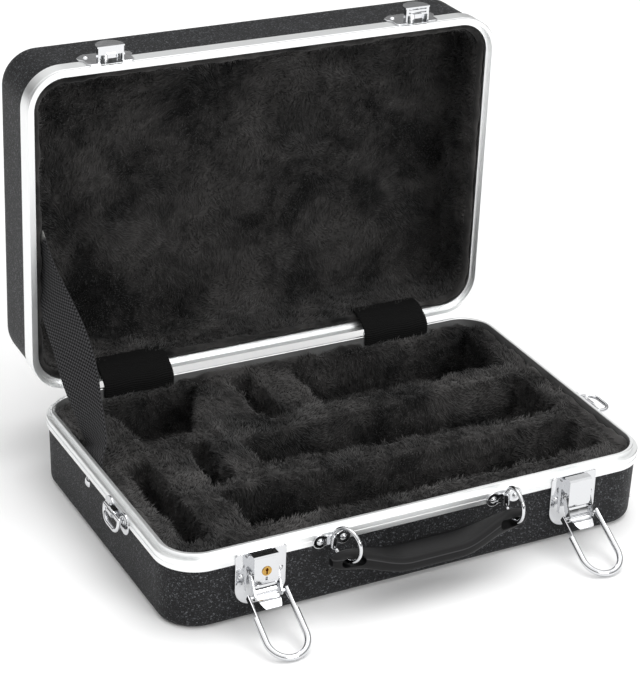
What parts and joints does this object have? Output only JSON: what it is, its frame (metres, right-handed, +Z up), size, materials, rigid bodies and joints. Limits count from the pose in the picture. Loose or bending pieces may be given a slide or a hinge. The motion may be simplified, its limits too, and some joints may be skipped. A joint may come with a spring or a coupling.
{
  "type": "clarinet case",
  "caption": "Hard moulded clarinet case standing open, with aluminium edge frames, draw latches, a slotted grip handle and a plush-lined fitted interior.",
  "frame": {"origin": "centre of the case's underside, on the surface it stands on", "axes": "+X to the case's right seen from the latches, +Y to the hinges, +Z up"},
  "size_m": [0.404, 0.385, 0.3217],
  "materials": {
    "shell": "black, fine pebbled texture",
    "valance": "bright extruded",
    "plush": "black long-pile plush",
    "foam": "foam blocks under the plush",
    "cover_webbing": "ribbed black webbing",
    "strap_webbing": "charcoal woven webbing",
    "grip": "black moulded, soft sheen",
    "brass": "turned",
    "steel": "zinc plated",
    "chrome": "bright nickel or chrome plate"
  },
  "bodies": {
    "base": {"block_left_rear": "foam", "bottom_shell": "shell", "bottom_valance": "valance", "bracket_rivets": "chrome", "divider_bell": "foam", "divider_bell_front": "foam", "divider_front": "foam", "divider_left": "foam", "divider_mid": "foam", "divider_rear": "foam", "divider_slot": "foam", "divider_slot_front": "foam", "handle_bracket_left": "chrome", "handle_bracket_right": "chrome", "hinge_cover_left": "cover_webbing", "hinge_cover_right": "cover_webbing", "hinge_leaf_bottom_left": "steel", "hinge_leaf_bottom_right": "steel", "hinge_pins": "steel", "hinge_rivets_bottom": "steel", "insert_floor": "foam", "latch_housing_left": "chrome", "latch_housing_right": "chrome", "latch_plate_left": "chrome", "latch_plate_right": "chrome", "latch_rivets": "chrome", "lever_pins": "chrome", "rail_back": "foam", "rail_front": "foam", "rail_left": "foam", "rail_right": "foam", "side_bracket_left": "chrome", "side_bracket_right": "chrome", "stay_strap": "strap_webbing", "strap_rivet": "chrome", "well_lining": "plush"},
    "lid": {"catch_rivets": "chrome", "hinge_leaf_lid_left": "steel", "hinge_leaf_lid_right": "steel", "hinge_rivets_lid": "steel", "lid_catch_left": "chrome", "lid_catch_right": "chrome", "lid_lining": "plush", "lid_pad": "foam", "lid_shell": "shell", "lid_valance": "valance"},
    "lever_left": {"latch_lever_left": "chrome"},
    "lever_right": {"latch_lever_right": "chrome"},
    "bail_left": {"latch_bail_left": "chrome"},
    "bail_right": {"latch_bail_right": "chrome"},
    "lock_cylinder": {"lock_cylinder": "brass"},
    "grip": {"handle_grip": "grip"},
    "handle_ring_left": {"handle_ring_left": "chrome"},
    "handle_ring_right": {"handle_ring_right": "chrome"},
    "side_ring_left": {"side_ring_left": "chrome"},
    "side_ring_right": {"side_ring_right": "chrome"}
  },
  "joints": [
    {"name": "lid_hinge", "type": "hinge", "parent": "base", "child": "lid", "pos_m": [0, 0.129, 0.0548], "axis": [1, 0, 0], "range_deg": [0, 89.5], "deforming": ["stay_strap", "hinge_cover_left", "hinge_cover_right"]},
    {"name": "latch_lever_left", "type": "hinge", "parent": "base", "child": "lever_left", "pos_m": [-0.1258, -0.1304, 0.04], "axis": [-1, 0, 0], "range_deg": [0, 110]},
    {"name": "latch_bail_left", "type": "hinge", "parent": "lever_left", "child": "bail_left", "pos_m": [-0.1258, -0.137, 0.026], "axis": [1, 0, 0], "range_deg": [-126, 60]},
    {"name": "latch_lever_right", "type": "hinge", "parent": "base", "child": "lever_right", "pos_m": [0.1212, -0.1304, 0.04], "axis": [-1, 0, 0], "range_deg": [0, 110]},
    {"name": "latch_bail_right", "type": "hinge", "parent": "lever_right", "child": "bail_right", "pos_m": [0.1212, -0.137, 0.026], "axis": [1, 0, 0], "range_deg": [-126, 60]},
    {"name": "lock_turn", "type": "hinge", "parent": "base", "child": "lock_cylinder", "pos_m": [-0.1258, -0.135, 0.043], "axis": [0, -1, 0], "range_deg": [0, 90]},
    {"name": "grip_swing", "type": "hinge", "parent": "base", "child": "grip", "pos_m": [0, -0.1404, 0.051], "axis": [-1, 0, 0], "range_deg": [0, 92]},
    {"name": "handle_ring_left", "type": "hinge", "parent": "base", "child": "handle_ring_left", "pos_m": [-0.073, -0.1285, 0.049], "axis": [0, 0, 1], "range_deg": [-6, 2]},
    {"name": "handle_ring_right", "type": "hinge", "parent": "base", "child": "handle_ring_right", "pos_m": [0.063, -0.1285, 0.049], "axis": [0, 0, 1], "range_deg": [-6, 1]},
    {"name": "side_ring_left", "type": "hinge", "parent": "base", "child": "side_ring_left", "pos_m": [-0.1944, -0.0345, 0.05], "axis": [0, 1, 0], "range_deg": [0, 170]},
    {"name": "side_ring_right", "type": "hinge", "parent": "base", "child": "side_ring_right", "pos_m": [0.1944, -0.0345, 0.05], "axis": [0, -1, 0], "range_deg": [-84, 86]}
  ]
}
